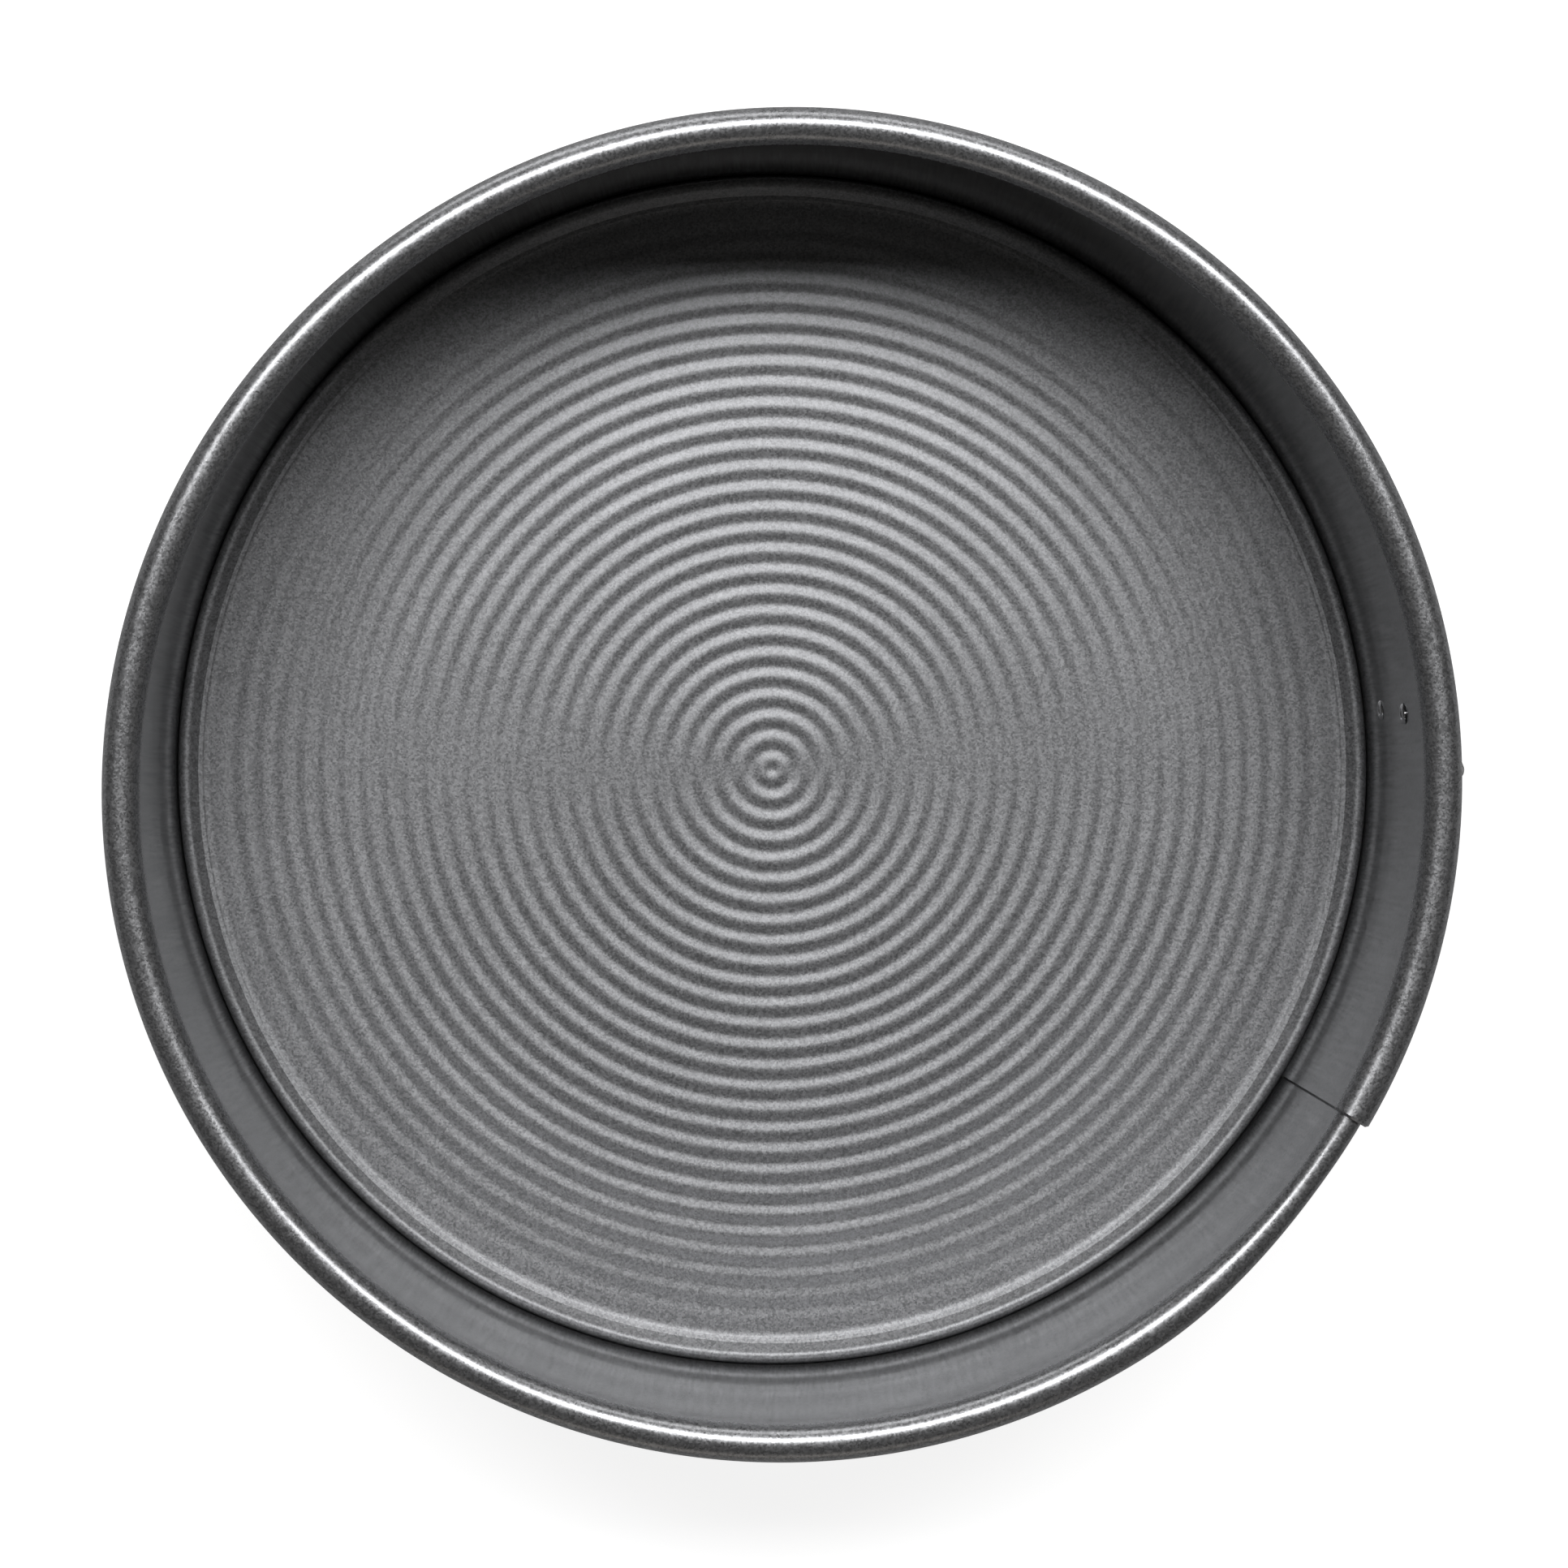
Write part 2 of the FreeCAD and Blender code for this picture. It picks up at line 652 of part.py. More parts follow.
for place, sign in (("upper", 1), ("lower", -1)):
    name = f"bracket_rivet_{place}"
    nodes[name] = turned_body(
        name, "sizes.sheet + sizes.bracket_sheet + sizes.seat_gap", "sizes.rivet_inside",
        "sizes.rivet_head", "sizes.rivet_shank", "sizes.rivet_dome",
    )
    stand_radially(
        nodes[name], size("wall_radius") - size("seat_gap"), size("rivet_angle"),
        LATCH_Z + sign * size("rivet_spread"),
    )
    name = f"keeper_rivet_{place}"
    nodes[name] = turned_body(
        name, "sizes.sheet + sizes.keeper_sheet", None,
        "sizes.rivet_head", "sizes.rivet_shank", "sizes.rivet_dome",
    )
    stand_radially(
        nodes[name], TUCK_INSIDE, size("keeper_rivet_angle"),
        LATCH_Z + sign * size("keeper_rivet_spread"),
    )

nodes["lever_pin"] = turned_body(
    "lever_pin", "2 * (sizes.cheek_inside + sizes.lever_sheet + sizes.pin_head_gap)",
    "sizes.pin_head_height", "sizes.pin_head_radius", "sizes.pin_radius", "sizes.pin_head_height",
)
pin_foot = worth(
    "sizes.latch_height - sizes.cheek_inside - sizes.lever_sheet - sizes.pin_head_gap"
)
nodes["lever_pin"].Placement = Placement(PIVOT + Vector(0, 0, pin_foot), Rotation())

# ---------------------------------------------------------------- checks and files

doc.recompute()
failed = [o.Name for o in doc.Objects if {"Invalid", "Error"} & set(o.State)]
if failed:
    raise SystemExit(f"these features failed: {', '.join(failed)}")

os.makedirs("parts", exist_ok=True)
for name, node in nodes.items():
    node.Label = name
    shape = node.Shape
    if shape.isNull() or not shape.isValid() or not shape.Solids:
        raise SystemExit(f"{name} is not a valid solid")
    box = shape.BoundBox
    print(
        f"{name}: {len(shape.Solids)} solid, {shape.Volume:.1f} mm3, "
        f"x {box.XMin:.1f}..{box.XMax:.1f}, y {box.YMin:.1f}..{box.YMax:.1f}, "
        f"z {box.ZMin:.2f}..{box.ZMax:.2f}"
    )
    shape.exportStep(f"parts/{name}.step")
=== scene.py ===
"""The looks of the springform pan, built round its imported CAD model. Lengths are in metres."""

import math

import bpy
import numpy as np
from mathutils import Matrix, Vector


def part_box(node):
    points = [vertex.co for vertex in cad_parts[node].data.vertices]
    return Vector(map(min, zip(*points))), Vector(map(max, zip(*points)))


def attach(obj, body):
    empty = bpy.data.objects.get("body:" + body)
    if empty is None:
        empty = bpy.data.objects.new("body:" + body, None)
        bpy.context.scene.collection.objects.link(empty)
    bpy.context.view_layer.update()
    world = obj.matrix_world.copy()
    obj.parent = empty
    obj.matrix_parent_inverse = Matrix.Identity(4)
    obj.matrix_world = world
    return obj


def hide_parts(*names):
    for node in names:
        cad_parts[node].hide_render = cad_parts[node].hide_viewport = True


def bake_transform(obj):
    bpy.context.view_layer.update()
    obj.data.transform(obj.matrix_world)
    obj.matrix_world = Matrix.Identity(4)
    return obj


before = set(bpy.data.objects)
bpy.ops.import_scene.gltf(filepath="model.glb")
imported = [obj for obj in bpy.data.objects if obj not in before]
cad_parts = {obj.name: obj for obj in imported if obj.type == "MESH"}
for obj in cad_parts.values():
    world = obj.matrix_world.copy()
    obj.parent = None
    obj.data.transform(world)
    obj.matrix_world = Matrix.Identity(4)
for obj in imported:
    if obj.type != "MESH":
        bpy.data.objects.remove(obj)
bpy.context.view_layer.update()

MM = 0.001
TURN = 2 * math.pi

# ---------------------------------------------------------------- sizes

RIM_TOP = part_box("band_latch_section")[1].z
RIM_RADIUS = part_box("band_back_section")[1].y  # outside of the rolled rim
BASE_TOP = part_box("base_plate")[1].z

# The band. Profiles are of the sheet's middle, and angles are in degrees round the pan.
SHEET = 0.5 * MM
ROLL_OUTSIDE = 3.4 * MM
ROLL = ROLL_OUTSIDE - SHEET / 2
ROLL_RADIUS = RIM_RADIUS - ROLL_OUTSIDE
ROLL_HEIGHT = RIM_TOP - ROLL_OUTSIDE
ROLL_SWEEP = 235
WALL_RADIUS = ROLL_RADIUS - ROLL
SHELF_HEIGHT = 5.25 * MM
FOOT_RADIUS = 113.15 * MM
FOOT_EDGE = 114.9 * MM
BEND = 0.6 * MM

SEAM = 329.5 - 360  # the latch section's free end, whose wall lies inside the tucked end's
SPLIT = 150  # where the band's two meshes meet, at the back
TAPER_START, TAPER_END = 303, 325  # the tucked end steps outwards between these
FOOT_END = 328.65
TUCK_END = 359.4
HIDDEN_START, HIDDEN_END = 331, 337  # behind the latch section it steps out further
TUCK_STEP_LOW = (0.2 * MM, 1.0 * MM)  # the wall's step at the foot: in sight, and behind
TUCK_STEP_HIGH = (0.7 * MM, 1.0 * MM)  # and under the roll
TUCK_ROLL = 1.05 * MM  # how much smaller the roll's radius is
PINCH = 0.2 * MM  # how far the latch section's free end lies inside the circle at its foot
PINCH_REACH = 15
TUCK_BOTTOM = 1.0 * MM
SLANT = 0.22  # the free end's sheared edge runs back this far on the side that is seen
LEAN = 0.75  # how much further the free end reaches at its foot
SECTION_STEP = 1.0  # degrees between the band's sections
WALL_POINTS, ROLL_POINTS = 14, 34
CRISP = 0.85  # a face whose normal agrees less than this with the shape's is a cut edge

# How far the sprung rim is out of round: lobes, size, and the direction in degrees of one lobe.
SPRUNG = ((0, 0.14 * MM, 0), (1, 0.34 * MM, -64), (2, 0.65 * MM, 34), (3, 0.27 * MM, -53))

# The base plate.
RING_PITCH = 4.04 * MM
FIRST_GROOVE = 3.82 * MM
RING_COUNT = 26
RINGS_END = FIRST_GROOVE + (RING_COUNT - 0.5) * RING_PITCH
GROOVE_DEPTH = 0.3 * MM
FLANK = 0.94  # towards 1, the flanks run straight and the crests and grooves get sharper
FADE_START, FADE_END = 84 * MM, 106 * MM  # the outer rings are pressed less deep
FADE = 0.5
FLOOR_HEIGHT = 6.6 * MM
FLOOR_RADIUS = 110.2 * MM
CLIMB = ((0.5 * MM, 0.28 * MM), (1.3 * MM, 0.42 * MM))  # from the floor's edge up to the bead
CLIMB_BEND = 0.35 * MM
BEAD_OUTSIDE = 1.5 * MM
BEAD_RADIUS = 113.8 * MM
BEAD_HEIGHT = BASE_TOP - BEAD_OUTSIDE
BEAD_ROLL = BEAD_OUTSIDE - SHEET / 2
BEAD_START, BEAD_STOP = 135, -90  # degrees, from outwards
BASE_SIDES = 216
RING_POINTS, RING_POINTS_BELOW = 9, 4  # along each ring, above and below

# The latch.
RIVET_HEAD = 2.0 * MM
RIVET_DOME = 0.9 * MM
DOME_SWEEP = 84  # degrees
CLENCH = 0.45 * MM  # how far a rivet stands proud inside the pan
# The clenched rim's section: shares of the head's radius and of the clench.
CLENCHED = (
    (0.35, 0.0), (0.38, -0.5), (0.5, -0.92), (0.62, -1.0), (0.76, -0.85), (0.9, -0.45), (0.98, 0.0),
    (0.5, 0.1),
)
SOFT_EDGE = 0.15 * MM
CREASE = math.radians(50)  # edges that turn further than this stay sharp


def smooth_step(x):
    x = np.clip(x, 0.0, 1.0)
    return x * x * (3 - 2 * x)


# ---------------------------------------------------------------- mesh helpers


def arc(centre, radius, start, end, count):
    """Points on an arc, angles in degrees from the profile's outward direction."""
    angles = np.radians(np.linspace(start, end, count))
    return np.stack([centre[0] + radius * np.cos(angles), centre[1] + radius * np.sin(angles)], 1)


def spaced(a, b, count):
    """Points on the straight line from a to b."""
    t = np.linspace(0, 1, count)[:, None]
    return np.array(a) * (1 - t) + np.array(b) * t


def bent(points, bend, count=5):
    """A polyline with every inner corner rounded to the bend radius."""
    out = [np.array(points[0])[None]]
    for before, corner, after in zip(points, points[1:], points[2:]):
        before, corner, after = map(np.array, (before, corner, after))
        d_in = (corner - before) / np.linalg.norm(corner - before)
        d_out = (after - corner) / np.linalg.norm(after - corner)
        turn = math.acos(np.clip(d_in @ d_out, -1, 1))
        cut = bend * math.tan(turn / 2)
        side = np.sign(d_in[0] * d_out[1] - d_in[1] * d_out[0])
        centre = corner - d_in * cut + side * bend * np.array([-d_in[1], d_in[0]])
        start = corner - d_in * cut - centre
        swing = side * turn * np.linspace(0, 1, count)
        out.append(np.stack([
            centre[0] + start[0] * np.cos(swing) - start[1] * np.sin(swing),
            centre[1] + start[0] * np.sin(swing) + start[1] * np.cos(swing),
        ], 1))
    out.append(np.array(points[-1])[None])
    return np.concatenate(out)


def thickened(path, thickness):
    """The closed outline of a sheet whose middle is the path: out along one side, back along the other."""
    step = np.gradient(path, axis=0)
    along = step / np.linalg.norm(step, axis=1)[:, None]
    side = np.stack([along[:, 1], -along[:, 0]], 1) * thickness / 2
    return np.concatenate([path + side, (path - side)[::-1]])


def mesh_object(name, points, faces, normals=None):
    """A mesh from vertices, faces and, where given, one normal for each face corner."""
    mesh = bpy.data.meshes.new(name)
    mesh.from_pydata([tuple(p) for p in points], [], faces)
    mesh.validate()
    mesh.polygons.foreach_set("use_smooth", [True] * len(mesh.polygons))
    if normals is not None:
        mesh.normals_split_custom_set([tuple(n) for n in normals])
    made = bpy.data.objects.new(name, mesh)
    bpy.context.scene.collection.objects.link(made)
    return made


def swept_band(outline_at, start, end, cap_start, cap_end, lean=0.0):
    """A closed outline carried round the pan's axis from start to end, in degrees.

    Its normals come from the shape itself, so two lengths of one band meet without a line. A lean
    is given at a free edge: how much further it reaches at its foot, in degrees.
    """
    count = int(round((end - start) / SECTION_STEP)) + 1
    angles = np.linspace(start, end, count)
    rings = np.stack([placed(outline_at(a), a) for a in angles])
    around = np.stack([
        placed(outline_at(a), a + SECTION_STEP / 2) - placed(outline_at(a), a - SECTION_STEP / 2)
        for a in angles
    ])
    size = rings.shape[1]
    along = np.roll(rings, -1, 1) - np.roll(rings, 1, 1)
    normal = np.cross(around, along)
    normal /= np.linalg.norm(normal, axis=2)[:, :, None]
    half = size // 2
    if lean:
        # the free edge: slanted across the sheet, and further round at its foot than at its top
        slanted = placed(outline_at(start), start + SLANT)
        lower = placed(outline_at(start), start - lean) - rings[0]
        rings[0, half:] = slanted[half:]
        rings[0] += lower * np.clip(1 - rings[0, :, 2:] / RIM_TOP, 0, 1)
    faces, corner_normals = [], []
    for a in range(count - 1):
        for b in range(size):
            c = (b + 1) % size
            corners = [(a, b), (a + 1, b), (a + 1, c), (a, c)]
            flat = np.cross(rings[a + 1, b] - rings[a, b], rings[a, c] - rings[a, b])
            flat /= np.linalg.norm(flat)
            faces.append([i * size + j for i, j in corners])
            smooth = [normal[i, j] for i, j in corners]
            corner_normals += [n if n @ flat > CRISP else flat for n in smooth]
    for ring, wanted, order in ((0, cap_start, 1), (count - 1, cap_end, -1)):
        if not wanted:
            continue
        for b in range(half - 1):
            quad = [b, b + 1, size - 2 - b, size - 1 - b][::order]
            corner = rings[ring][quad]
            facing = np.cross(corner[2] - corner[0], corner[3] - corner[1])
            faces.append([ring * size + q for q in quad])
            corner_normals += [facing / np.linalg.norm(facing)] * 4
    return rings.reshape(-1, 3), faces, corner_normals


def placed(outline, degrees):
    """An outline of (radius, height) set round the pan at an angle, with the rim's out-of-round."""
    angle = math.radians(degrees)
    lift = np.clip(outline[:, 1] / RIM_TOP, 0, 1) ** 2
    bulge = sum(size * math.cos(lobes * (angle - math.radians(at))) for lobes, size, at in SPRUNG)
    radius = outline[:, 0] + bulge * lift
    return np.stack([radius * math.cos(angle), radius * math.sin(angle), outline[:, 1]], 1)


# ---------------------------------------------------------------- band


def tuck(degrees):
    """The wall's steps outwards at the foot and under the roll, and the roll's own shrinking."""
    seen = float(smooth_step((degrees - TAPER_START) / (TAPER_END - TAPER_START)))
    behind = float(smooth_step((degrees - HIDDEN_START) / (HIDDEN_END - HIDDEN_START)))
    low, high = (seen * (a + (b - a) * behind) for a, b in (TUCK_STEP_LOW, TUCK_STEP_HIGH))
    return low, high, TUCK_ROLL * seen


def wall_and_roll(degrees, bottom):
    """The wall from its bottom up, and the rolled rim over the top."""
    low, high, shrunk = tuck(degrees)
    radius = ROLL - shrunk
    top = (WALL_RADIUS + high, ROLL_HEIGHT)
    start = (WALL_RADIUS + low, bottom)
    roll = arc((top[0] + radius, ROLL_HEIGHT), radius, 180, 180 - ROLL_SWEEP, ROLL_POINTS)
    return np.concatenate([spaced(start, top, WALL_POINTS)[:-1], roll])


def full_outline(degrees):
    """The band's section with its foot."""
    radius = WALL_RADIUS + tuck(degrees)[0]
    wall_foot = SHELF_HEIGHT + 2 * BEND
    foot = bent([
        (FOOT_EDGE, SHEET / 2), (FOOT_RADIUS, SHEET / 2),
        (FOOT_RADIUS, SHELF_HEIGHT), (radius, SHELF_HEIGHT), (radius, wall_foot),
    ], BEND)
    return thickened(np.concatenate([foot, wall_and_roll(degrees, wall_foot)[1:]]), SHEET)


def latch_outline(degrees):
    """The same, with the free end pinched in at the foot."""
    outline = full_outline(degrees)
    pinch = PINCH * (1 - float(smooth_step((degrees - SEAM) / PINCH_REACH)))
    outline[:, 0] -= pinch * np.clip(1 - outline[:, 1] / ROLL_HEIGHT, 0, 1)
    return outline


def tucked_outline(degrees):
    """The band's section past the foot's end: wall and roll only."""
    return thickened(wall_and_roll(degrees, TUCK_BOTTOM), SHEET)


def band_piece(name, lengths, stands_for):
    """One mesh of the band, swept from its lengths, in place of the CAD parts it stands for."""
    points, faces, normals = [], [], []
    for length in lengths:
        new_points, new_faces, new_normals = swept_band(*length)
        shift = sum(len(p) for p in points)
        points.append(new_points)
        faces += [[i + shift for i in f] for f in new_faces]
        normals += new_normals
    piece = mesh_object(name, np.concatenate(points), faces, normals)
    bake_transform(piece)
    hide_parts(*stands_for)
    return piece


def build_band():
    """The band in two meshes, which meet at the back."""
    return [
        band_piece(
            "band_front", [(latch_outline, SEAM, SPLIT, True, False, LEAN)],
            ["band_latch_section"],
        ),
        band_piece(
            "band_rear",
            [
                (full_outline, SPLIT, FOOT_END, False, True),
                (tucked_outline, FOOT_END, TUCK_END, True, True),
            ],
            ["band_back_section", "band_keeper_section"],
        ),
    ]


# ---------------------------------------------------------------- base


def ring_wave(radius):
    """The pressed rings: height below the crests."""
    swing = FLANK * np.cos(TURN * (radius - FIRST_GROOVE) / RING_PITCH)
    wave = 0.5 + 0.5 * np.arcsin(swing) / math.asin(FLANK)
    depth = GROOVE_DEPTH * (1 - FADE * smooth_step((radius - FADE_START) / (FADE_END - FADE_START)))
    return depth * np.where(radius > RINGS_END, 0.0, wave)


def base_path(per_ring):
    """The base sheet's middle from the centre outwards, and over the rolled bead."""
    count = int(RINGS_END / RING_PITCH * per_ring)
    radius = np.linspace(0, RINGS_END, count + 1)[1:]
    middle = FLOOR_HEIGHT - SHEET / 2
    rings = np.stack([radius, middle - ring_wave(radius)], 1)
    edge = np.linspace(RINGS_END, FLOOR_RADIUS, 4)[1:-1]
    border = np.stack([edge, np.full(len(edge), middle)], 1)
    bead = arc((BEAD_RADIUS, BEAD_HEIGHT), BEAD_ROLL, BEAD_START, BEAD_STOP, 17)
    rise = [(FLOOR_RADIUS + out, middle + up) for out, up in CLIMB]
    climb = bent([(FLOOR_RADIUS, middle), *rise, tuple(bead[0])], CLIMB_BEND, 4)
    return np.concatenate([rings, border, climb[:-1], bead])


def base_outline():
    """The sheet's outline from its top's centre round to its underside's, which needs fewer points."""
    above = thickened(base_path(RING_POINTS), SHEET)
    below = thickened(base_path(RING_POINTS_BELOW), SHEET)
    upper = above[len(above) // 2:][::-1]
    lower = below[: len(below) // 2][::-1]
    return np.concatenate([upper, lower])


def build_base():
    """The base plate: its outline turned about the pan's axis, with a fan of faces at each centre."""
    outline, sides = base_outline(), BASE_SIDES
    angles = np.linspace(0, TURN, sides, endpoint=False)
    points = np.stack([
        np.outer(outline[:, 0], np.cos(angles)),
        np.outer(outline[:, 0], np.sin(angles)),
        np.repeat(outline[:, 1:2], sides, 1),
    ], 2).reshape(-1, 3)
    rows = len(outline)
    faces = []
    for a in range(rows - 1):
        for b in range(sides):
            c = (b + 1) % sides
            faces.append([a * sides + b, (a + 1) * sides + b, (a + 1) * sides + c, a * sides + c])
    centre = FLOOR_HEIGHT - float(ring_wave(np.array(0.0)))
    top_centre, low_centre = len(points), len(points) + 1
    points = np.concatenate([points, [[0, 0, centre], [0, 0, centre - SHEET]]])
    last = (rows - 1) * sides
    for b in range(sides):
        c = (b + 1) % sides
        faces.append([top_centre, b, c])
        faces.append([low_centre, last + c, last + b])
    base = mesh_object("base_disc", points, faces)
    base.data.set_sharp_from_angle(angle=CREASE)
    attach(base, "base")
    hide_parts("base_plate")
    return base


# ---------------------------------------------------------------- latch


def soften(piece):
    """Rounds a pressed part's cut edges. The CAD mesh has split corners, so they are welded first."""
    weld = piece.modifiers.new("weld", "WELD")
    weld.merge_threshold = 0.001 * MM
    bevel = piece.modifiers.new("bevel", "BEVEL")
    bevel.width = SOFT_EDGE
    bevel.segments = 2
    bevel.limit_method = "ANGLE"
    bevel.angle_limit = math.radians(40)
    bevel.harden_normals = True


def turned(name, outline, axis_from, axis_to, around=40):
    """A lathe shape: an outline of (radius, distance along the axis) turned about the axis."""
    start, along = Vector(axis_from), (Vector(axis_to) - Vector(axis_from)).normalized()
    side = Vector((0, 0, 1)).cross(along).normalized()
    across = along.cross(side)
    points, faces = [], []
    for radius, distance in outline:
        for step in range(around):
            angle = TURN * step / around
            points.append(
                start + along * distance + (side * math.cos(angle) + across * math.sin(angle)) * radius
            )
    for a in range(len(outline) - 1):
        for b in range(around):
            c = (b + 1) % around
            faces.append([a * around + b, a * around + c, (a + 1) * around + c, (a + 1) * around + b])
    faces.append(list(range(around))[::-1])
    faces.append([(len(outline) - 1) * around + b for b in range(around)])
    return mesh_object(name, points, faces)


def build_rivet(node, body, material):
    """A hollow rivet: a domed head outside, and inside the pan a rolled-over rim round its hole."""
    low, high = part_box(node)
    middle = (low + high) / 2
    outward = Vector((middle.x, middle.y, 0)).normalized()
    inner = Vector((0, 0, middle.z)) + outward * (WALL_RADIUS - SHEET / 2)
    reach = max(Vector((x, y, 0)) @ outward for x in (low.x, high.x) for y in (low.y, high.y))
    length = reach - (WALL_RADIUS - SHEET / 2)
    rolled = [(r * RIVET_HEAD, d * CLENCH) for r, d in CLENCHED]
    dome = [
        (RIVET_HEAD * math.cos(a), length - RIVET_DOME * (1 - math.sin(a)))
        for a in np.radians(np.linspace(0, DOME_SWEEP, 8))
    ]
    shank_end = (rolled[-1][0], dome[0][1])
    rivet = turned(f"{node}_turned", rolled + [shank_end] + dome, inner, inner + outward)
    rivet.data.set_sharp_from_angle(angle=CREASE)
    dress(rivet, material)
    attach(rivet, body)
    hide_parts(node)


# ---------------------------------------------------------------- materials


COATING_RELIEF = 0.01 * MM
STEEL_RELIEF = 0.02 * MM
WALL_ROUGHNESS, ROLL_ROUGHNESS = 0.11, 0.31
FLOOR_TINT = (0.32, 0.32, 0.32)
FLOOR_GLOW = 0.86


class Nodes:
    """A few words for building a node material."""

    def __init__(self, name):
        self.material = bpy.data.materials.new(name)
        self.material.use_nodes = True
        self.tree = self.material.node_tree
        self.tree.nodes.clear()
        self.place = self.add("ShaderNodeTexCoord").outputs["Object"]

    def add(self, kind, inputs=None, **settings):
        node = self.tree.nodes.new(kind)
        for key, value in settings.items():
            setattr(node, key, value)
        for key, value in (inputs or {}).items():
            self.feed(node.inputs[key], value)
        return node

    def feed(self, socket, value):
        if isinstance(value, bpy.types.NodeSocket):
            self.tree.links.new(value, socket)
        else:
            socket.default_value = value

    def noise(self, scale, detail=3, roughness=0.55, at=None):
        made = self.add("ShaderNodeTexNoise", {"Vector": at or self.place, "Scale": scale})
        made.inputs["Detail"].default_value = detail
        made.inputs["Roughness"].default_value = roughness
        return made.outputs["Fac"]

    def math(self, operation, a, b):
        return self.add("ShaderNodeMath", {0: a, 1: b}, operation=operation).outputs[0]

    def span(self, value, low, high, to_low=0.0, to_high=1.0):
        inputs = {"Value": value, "From Min": low, "From Max": high, "To Min": to_low, "To Max": to_high}
        return self.add("ShaderNodeMapRange", inputs).outputs["Result"]

    def scaled(self, x, y, z):
        return self.add("ShaderNodeMapping", {"Vector": self.place, "Scale": (x, y, z)}).outputs["Vector"]

    def tinted(self, tint, tone):
        scaled = self.add("ShaderNodeVectorMath", {0: tint, "Scale": tone}, operation="SCALE")
        return scaled.outputs[0]

    def bump(self, height, distance, strength):
        inputs = {"Height": height, "Distance": distance, "Strength": strength}
        return self.add("ShaderNodeBump", inputs).outputs["Normal"]

    def finish(self, **inputs):
        shader = self.add("ShaderNodeBsdfPrincipled", {k.replace("_", " "): v for k, v in inputs.items()})
        out = self.add("ShaderNodeOutputMaterial")
        self.tree.links.new(shader.outputs[0], out.inputs["Surface"])
        return self.material


def flaked(n, tint):
    """Dark grey non-stick coating with fine metallic flake: its colour, its grain and its clouds."""
    flake = n.add("ShaderNodeTexVoronoi", {"Vector": n.place, "Scale": 2900.0}).outputs["Color"]
    grain = n.add("ShaderNodeSeparateColor", {"Color": flake}).outputs[0]
    drift = n.noise(45.0)
    cloud = n.noise(900.0, 2)
    glint = n.span(grain, 0.0, 1.0, 0.70, 1.34)
    tone = n.math("MULTIPLY", glint, n.span(drift, 0.3, 0.7, 0.96, 1.05))
    tone = n.math("MULTIPLY", tone, n.span(cloud, 0.3, 0.7, 0.93, 1.07))
    return n.tinted(tint, tone), grain, cloud


def base_coating():
    """The coating as it lies on the base plate."""
    n = Nodes("base_coating")
    colour, grain, cloud = flaked(n, (0.19, 0.192, 0.198))
    rough = n.math("ADD", n.span(grain, 0.0, 1.0, -0.03, 0.05), 0.47)
    height = n.math("ADD", grain, n.math("MULTIPLY", cloud, 1.5))
    normal = n.bump(height, COATING_RELIEF, 0.7)
    return n.finish(Base_Color=colour, Metallic=0.78, Roughness=rough, Normal=normal)


def band_coating():
    """The same on the band: smoother on the wall than on the roll, with faint upright streaks."""
    n = Nodes("band_coating")
    colour, grain, cloud = flaked(n, (0.255, 0.257, 0.264))
    streak = n.noise(420.0, 3, 0.6, n.scaled(1.0, 1.0, 0.02))
    level = n.add("ShaderNodeSeparateXYZ", {"Vector": n.place}).outputs["Z"]
    on_roll = n.span(level, ROLL_HEIGHT - 2 * MM, ROLL_HEIGHT + 1 * MM)
    smooth = n.span(on_roll, 0.0, 1.0, WALL_ROUGHNESS, ROLL_ROUGHNESS)
    rough = n.math("ADD", n.span(grain, 0.0, 1.0, -0.03, 0.05), smooth)
    rough = n.math("ADD", rough, n.span(streak, 0.35, 0.65, -0.025, 0.025))
    fine = n.math("MULTIPLY", n.noise(2600.0, 1), n.span(on_roll, 0.0, 1.0, 0.3, 0.9))
    normal = n.bump(n.math("ADD", fine, streak), COATING_RELIEF, 0.35)
    return n.finish(Base_Color=colour, Metallic=0.86, Roughness=rough, Normal=normal)


def steel(name, tint, roughness, grain=(1.0, 1.0, 1.0)):
    """Bright steel with fine drawn or brushed lines along one direction and faint handling marks."""
    n = Nodes(name)
    lines = n.noise(1800.0, 3, 0.6, n.scaled(*grain))
    marks = n.noise(140.0, 4)
    colour = n.tinted(tint, n.span(marks, 0.3, 0.7, 0.88, 1.05))
    rough = n.span(lines, 0.3, 0.7, roughness - 0.05, roughness + 0.05)
    rough = n.math("ADD", rough, n.span(marks, 0.3, 0.7, 0.04, -0.03))
    normal = n.bump(lines, STEEL_RELIEF, 0.35)
    return n.finish(Base_Color=colour, Metallic=1.0, Roughness=rough, Normal=normal)


def pale_floor():
    """Plain and pale. Its glow only lifts the shadow that the camera sees, and lights nothing."""
    n = Nodes("pale_floor")
    colour = n.tinted(FLOOR_TINT, n.span(n.noise(3.0), 0.3, 0.7, 0.985, 1.0))
    seen = n.add("ShaderNodeLightPath").outputs["Is Camera Ray"]
    return n.finish(
        Base_Color=colour, Roughness=0.8, Emission_Color=(1, 1, 1, 1),
        Emission_Strength=n.math("MULTIPLY", seen, FLOOR_GLOW),
    )


def dress(piece, material):
    piece.data.materials.clear()
    piece.data.materials.append(material)


# ---------------------------------------------------------------- scene


FLOOR_REACH = 3.0
LIGHT_DISTANCE = 2.2
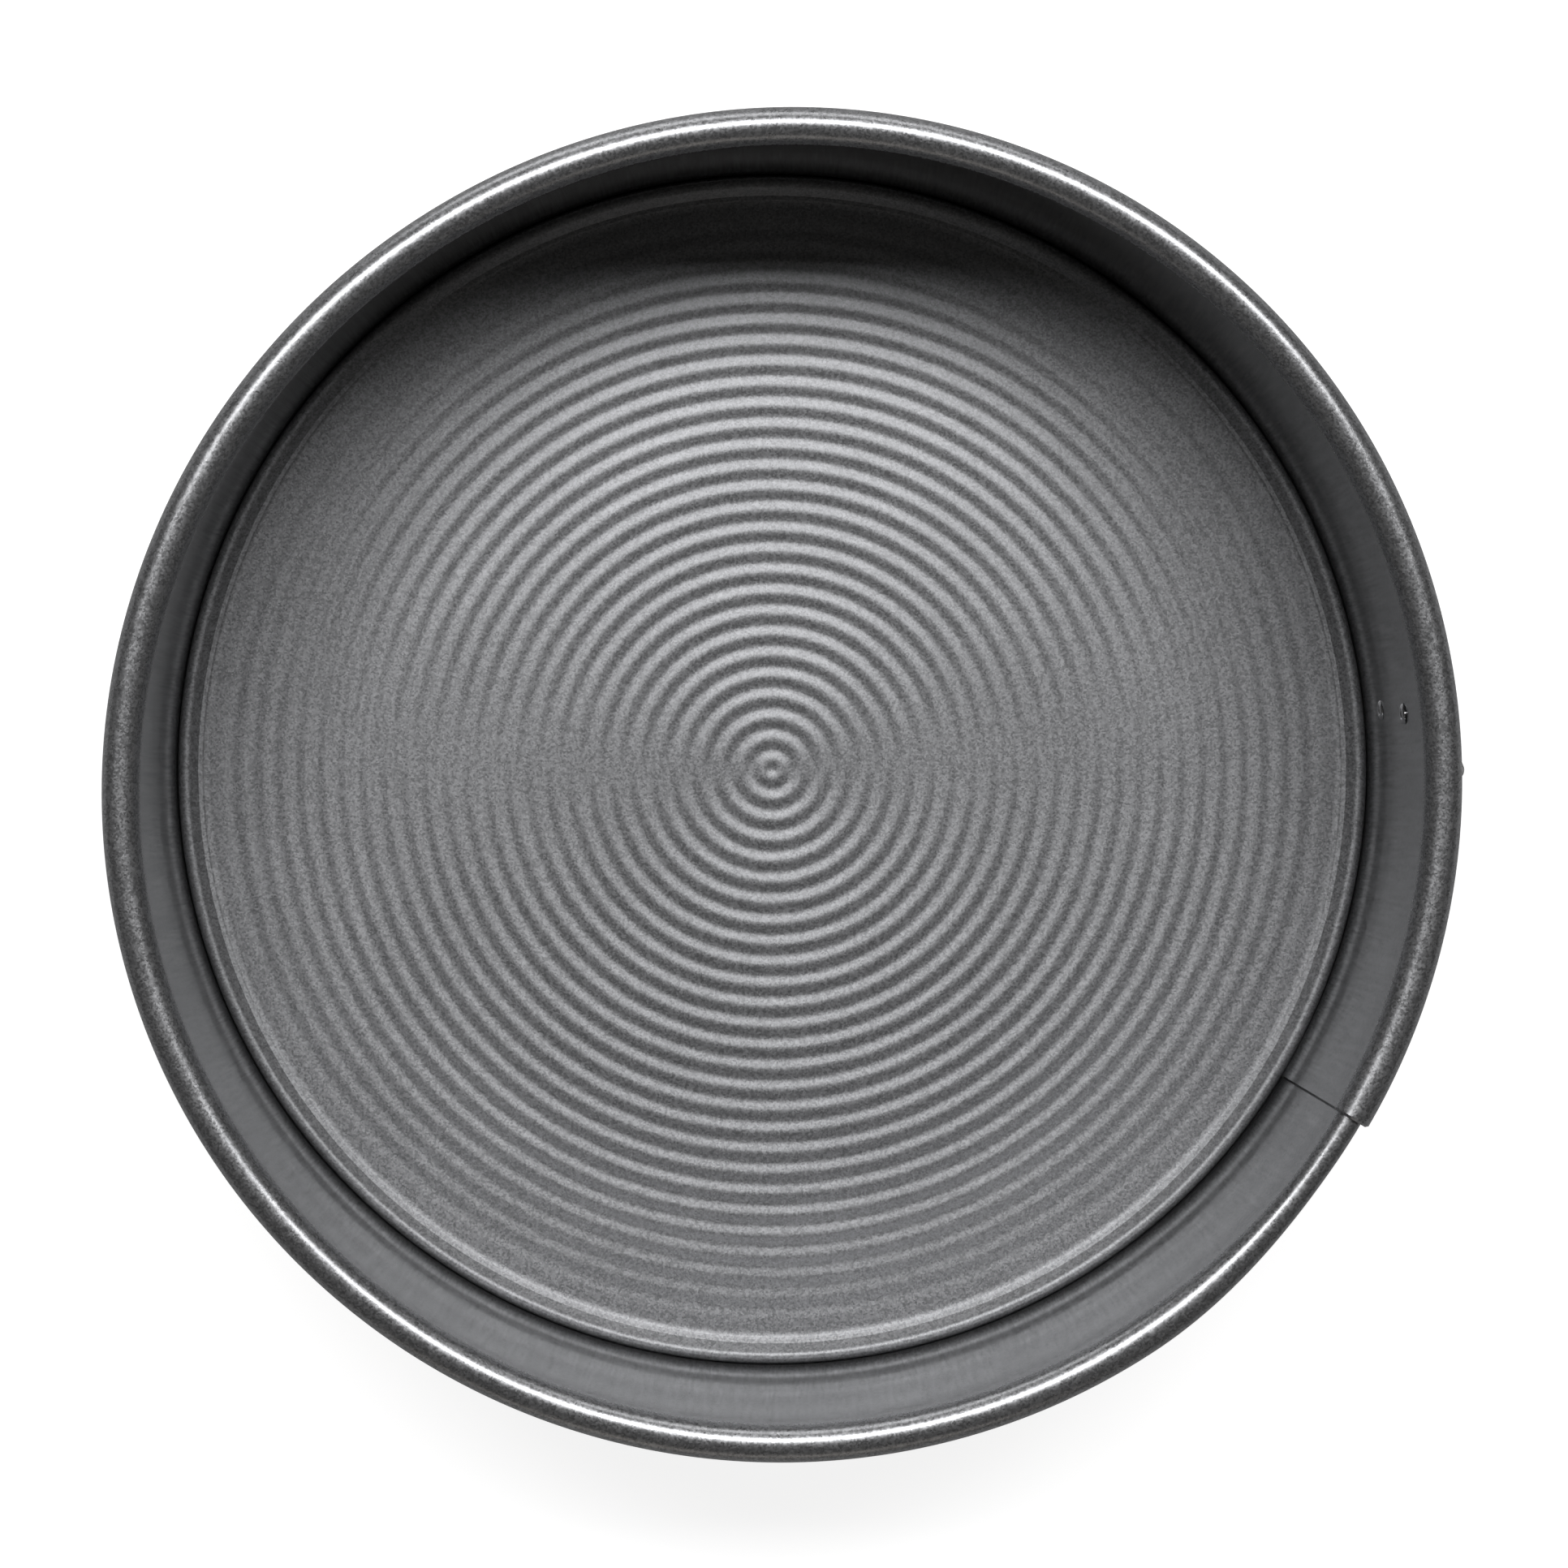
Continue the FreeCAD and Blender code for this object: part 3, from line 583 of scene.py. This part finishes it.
# Name, (azimuth, elevation) in degrees, (width, height), watts and colour of each light.
LIGHTS = (
    ("key", (91, 64), (2.4, 0.62), 62, (1.0, 1.0, 1.0)),
    ("back", (95, 14), (2.6, 0.6), 15, (1.0, 1.0, 1.0)),
    ("fill", (265, 12), (2.4, 0.6), 2.5, (1.0, 0.93, 0.85)),
)
SKY_COLOUR = (1.0, 0.97, 0.93, 1)
SKY_LIGHT, SKY_SEEN = 0.06, 0.9  # its strength as a light, and as the camera sees it
CAMERA_AT = (-26.0 * MM, 35.8 * MM, ROLL_HEIGHT + 753 * MM)
CAMERA_SHIFT = (0.0930, -0.1269)
LENS = 95.87


def build_stage():
    """The floor that the pan stands on."""
    half = FLOOR_REACH
    corners = [(-half, -half, 0), (half, -half, 0), (half, half, 0), (-half, half, 0)]
    floor = mesh_object("floor", corners, [[0, 1, 2, 3]])
    dress(floor, pale_floor())


def area_light(name, towards, size, power, colour):
    """A soft light that looks at the pan from a direction (azimuth, elevation) in degrees."""
    azimuth, elevation = map(math.radians, towards)
    back = Vector((
        math.cos(azimuth) * math.cos(elevation), math.sin(azimuth) * math.cos(elevation),
        math.sin(elevation),
    ))
    lamp = bpy.data.lights.new(name, "AREA")
    lamp.shape = "RECTANGLE"
    lamp.size, lamp.size_y = size
    lamp.energy = power
    lamp.color = colour
    made = bpy.data.objects.new(name, lamp)
    right = Vector((0, 1, 0)).cross(back).normalized()
    facing = Matrix((right, back.cross(right), back)).transposed().to_4x4()
    made.matrix_world = Matrix.Translation(back * LIGHT_DISTANCE) @ facing
    bpy.context.scene.collection.objects.link(made)


def build_sky():
    """An even sky that lights the pan a little and looks white to the camera."""
    world = bpy.data.worlds.new("studio")
    world.use_nodes = True
    tree = world.node_tree
    sky = tree.nodes["Background"]
    sky.inputs["Color"].default_value = SKY_COLOUR
    seen = tree.nodes.new("ShaderNodeLightPath").outputs["Is Camera Ray"]
    strength = tree.nodes.new("ShaderNodeMapRange")
    strength.inputs["To Min"].default_value = SKY_LIGHT
    strength.inputs["To Max"].default_value = SKY_SEEN
    tree.links.new(seen, strength.inputs["Value"])
    tree.links.new(strength.outputs["Result"], sky.inputs["Strength"])
    bpy.context.scene.world = world


def build_camera():
    """Straight above the pan, a little off its axis, with +Y at the top of the view."""
    camera = bpy.data.objects.new("camera", bpy.data.cameras.new("camera"))
    camera.location = CAMERA_AT
    camera.data.sensor_width = 36
    camera.data.lens = LENS
    camera.data.shift_x, camera.data.shift_y = CAMERA_SHIFT
    camera.data.clip_end = 20
    bpy.context.scene.collection.objects.link(camera)
    bpy.context.scene.camera = camera


def dress_latch():
    """The latch's CAD parts get their steels, and the bracket's rivets are built anew."""
    latch_steel = steel("latch_steel", (0.58, 0.58, 0.59), 0.28, (0.1, 0.1, 1.0))
    wire_steel = steel("wire_steel", (0.66, 0.66, 0.67), 0.18, (1.0, 1.0, 0.2))
    rivet_steel = steel("rivet_steel", (0.7, 0.7, 0.71), 0.15)
    for name, node in list(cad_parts.items()):
        if name in ("lever", "lever_bracket", "keeper_plate"):
            dress(node, latch_steel)
            soften(node)
        elif name == "bail":
            dress(node, wire_steel)
        elif name.startswith("bracket_rivet"):
            build_rivet(name, "latch_section", rivet_steel)
        elif name == "lever_pin" or name.startswith("keeper_rivet"):
            dress(node, rivet_steel)


bands = build_band()
base = build_base()
band_coat = band_coating()
for piece in bands:
    dress(piece, band_coat)
dress(base, base_coating())
dress_latch()

build_stage()
for light in LIGHTS:
    area_light(*light)
build_sky()
build_camera()
bpy.context.scene.view_settings.view_transform = "Standard"

bpy.context.view_layer.update()
